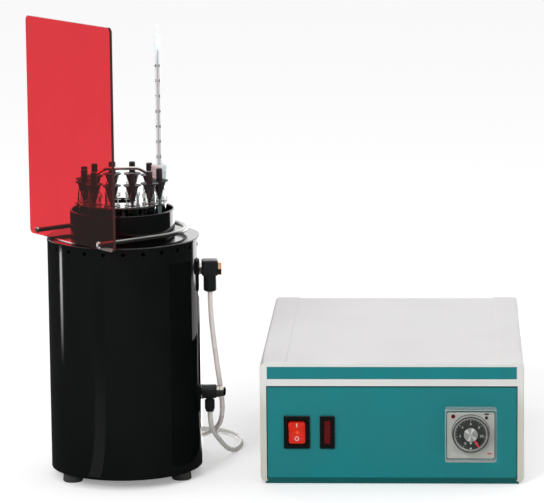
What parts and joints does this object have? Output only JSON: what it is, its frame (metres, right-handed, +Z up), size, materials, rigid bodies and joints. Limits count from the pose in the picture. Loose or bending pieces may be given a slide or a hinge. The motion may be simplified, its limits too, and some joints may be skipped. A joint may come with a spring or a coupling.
{
  "type": "uv digester",
  "caption": "Black cylindrical UV digestion tower with a lift-out rack of stoppered quartz tubes, a red eye shield and cooling hoses, beside a grey control unit with switch and timer.",
  "frame": {"origin": "on the bench under the middle of the box around both units, hoses left out", "axes": "+X to the right seen from the front, +Y to the back, +Z up; the control unit's front faces -Y"},
  "size_m": [0.4949, 0.3983, 0.465],
  "materials": {
    "gloss_black": "high gloss black",
    "dark_enamel": "satin",
    "dark_rubber": "matt",
    "bright_steel": "bright",
    "bright_metal": "polished",
    "brass_screw": "satin",
    "ceramic_white": "glazed",
    "black_plastic": "satin black",
    "stopper_black": "matt, slightly grey",
    "quartz": "clear polished",
    "thermometer_glass": "clear with a white back",
    "white_plastic": "translucent white",
    "red_acrylic": "transparent red, polished",
    "hose_clear": "translucent",
    "light_grey_enamel": "fine texture, light grey",
    "frame_grey": "satin warm grey",
    "panel_teal": "satin teal",
    "strip_teal": "satin teal",
    "switch_red": "translucent orange red",
    "lens_red": "dark red lens",
    "dial_black": "matt",
    "timer_silver": "satin silver",
    "clear_plastic": "clear moulded plastic"
  },
  "bodies": {
    "root": {"tower_feet": "dark_rubber", "base_plate": "dark_enamel", "tower_housing": "gloss_black", "tower_lid": "gloss_black", "collar": "gloss_black", "cooling_jacket": "bright_steel", "lamp_socket": "ceramic_white", "uv_lamp": "quartz", "lamp_inlet": "black_plastic", "fan_frame": "black_plastic", "upper_nipple": "bright_metal", "upper_elbow": "black_plastic", "upper_screw": "brass_screw", "lower_fitting": "black_plastic", "lower_dome_nut": "bright_metal", "lower_hose_nut": "black_plastic", "upper_hose": "hose_clear", "upper_hose_coil": "hose_clear", "lower_hose": "hose_clear", "lower_hose_coil": "hose_clear", "control_feet": "dark_rubber", "control_tray": "light_grey_enamel", "top_cover": "light_grey_enamel", "case_screws": "bright_steel", "front_frame": "frame_grey", "title_strip": "strip_teal", "front_panel": "panel_teal", "rocker_bezel": "black_plastic", "signal_bezel": "black_plastic", "signal_lens": "lens_red", "timer_case": "dial_black", "timer_face": "timer_silver", "mains_inlet": "black_plastic", "lamp_outlet": "black_plastic", "ballast": "dark_enamel"},
    "fan": {"fan_rotor": "black_plastic"},
    "shield": {"shield_plate": "red_acrylic", "shield_rod": "bright_steel", "shield_screws": "bright_steel"},
    "rack": {"rack_plate": "bright_steel", "rack_frame": "bright_steel", "rack_handle": "bright_metal", "sample_tubes": "quartz"},
    "bush": {"thermometer_bush": "white_plastic"},
    "thermometer": {"thermometer": "thermometer_glass"},
    "rocker": {"rocker": "switch_red"},
    "timer_dial": {"timer_disc": "clear_plastic", "timer_knob": "bright_metal"},
    "timer_cover": {"timer_cover": "clear_plastic"},
    "stopper_01": {"stopper_01": "stopper_black"},
    "stopper_02": {"stopper_02": "stopper_black"},
    "stopper_03": {"stopper_03": "stopper_black"},
    "stopper_04": {"stopper_04": "stopper_black"},
    "stopper_05": {"stopper_05": "stopper_black"},
    "stopper_06": {"stopper_06": "stopper_black"},
    "stopper_07": {"stopper_07": "stopper_black"},
    "stopper_08": {"stopper_08": "stopper_black"},
    "stopper_09": {"stopper_09": "stopper_black"},
    "stopper_10": {"stopper_10": "stopper_black"},
    "stopper_11": {"stopper_11": "stopper_black"}
  },
  "joints": [
    {"name": "fan_spin", "type": "hinge", "parent": "root", "child": "fan", "pos_m": [-0.152, -0.095, 0.02], "axis": [0, 0, 1], "continuous": true},
    {"name": "shield_turn", "type": "hinge", "parent": "root", "child": "shield", "pos_m": [-0.152, -0.095, 0.25], "axis": [0, 0, 1], "continuous": true},
    {"name": "rack_lift", "type": "slide", "parent": "root", "child": "rack", "axis": [0, 0, 1], "range_m": [0, 0.115]},
    {"name": "bush_lift", "type": "slide", "parent": "rack", "child": "bush", "axis": [0, 0, 1], "range_m": [0, 0.12]},
    {"name": "thermometer_slide", "type": "slide", "parent": "bush", "child": "thermometer", "axis": [0, 0, 1], "range_m": [0, 0.14]},
    {"name": "rocker_press", "type": "hinge", "parent": "root", "child": "rocker", "pos_m": [0.0224, -0.1376, 0.053], "axis": [-1, 0, 0], "range_deg": [0, 18]},
    {"name": "timer_turn", "type": "hinge", "parent": "root", "child": "timer_dial", "pos_m": [0.1954, -0.15, 0.053], "axis": [0, -1, 0], "range_deg": [0, 300]},
    {"name": "timer_cover_pull", "type": "slide", "parent": "root", "child": "timer_cover", "axis": [0, -1, 0], "range_m": [0, 0.03]},
    {"name": "stopper_01_lift", "type": "slide", "parent": "rack", "child": "stopper_01", "axis": [0, 0, 1], "range_m": [0, 0.05]},
    {"name": "stopper_02_lift", "type": "slide", "parent": "rack", "child": "stopper_02", "axis": [0, 0, 1], "range_m": [0, 0.05]},
    {"name": "stopper_03_lift", "type": "slide", "parent": "rack", "child": "stopper_03", "axis": [0, 0, 1], "range_m": [0, 0.05]},
    {"name": "stopper_04_lift", "type": "slide", "parent": "rack", "child": "stopper_04", "axis": [0, 0, 1], "range_m": [0, 0.05]},
    {"name": "stopper_05_lift", "type": "slide", "parent": "rack", "child": "stopper_05", "axis": [0, 0, 1], "range_m": [0, 0.05]},
    {"name": "stopper_06_lift", "type": "slide", "parent": "rack", "child": "stopper_06", "axis": [0, 0, 1], "range_m": [0, 0.05]},
    {"name": "stopper_07_lift", "type": "slide", "parent": "rack", "child": "stopper_07", "axis": [0, 0, 1], "range_m": [0, 0.05]},
    {"name": "stopper_08_lift", "type": "slide", "parent": "rack", "child": "stopper_08", "axis": [0, 0, 1], "range_m": [0, 0.05]},
    {"name": "stopper_09_lift", "type": "slide", "parent": "rack", "child": "stopper_09", "axis": [0, 0, 1], "range_m": [0, 0.05]},
    {"name": "stopper_10_lift", "type": "slide", "parent": "rack", "child": "stopper_10", "axis": [0, 0, 1], "range_m": [0, 0.05]},
    {"name": "stopper_11_lift", "type": "slide", "parent": "rack", "child": "stopper_11", "axis": [0, 0, 1], "range_m": [0, 0.05]}
  ]
}
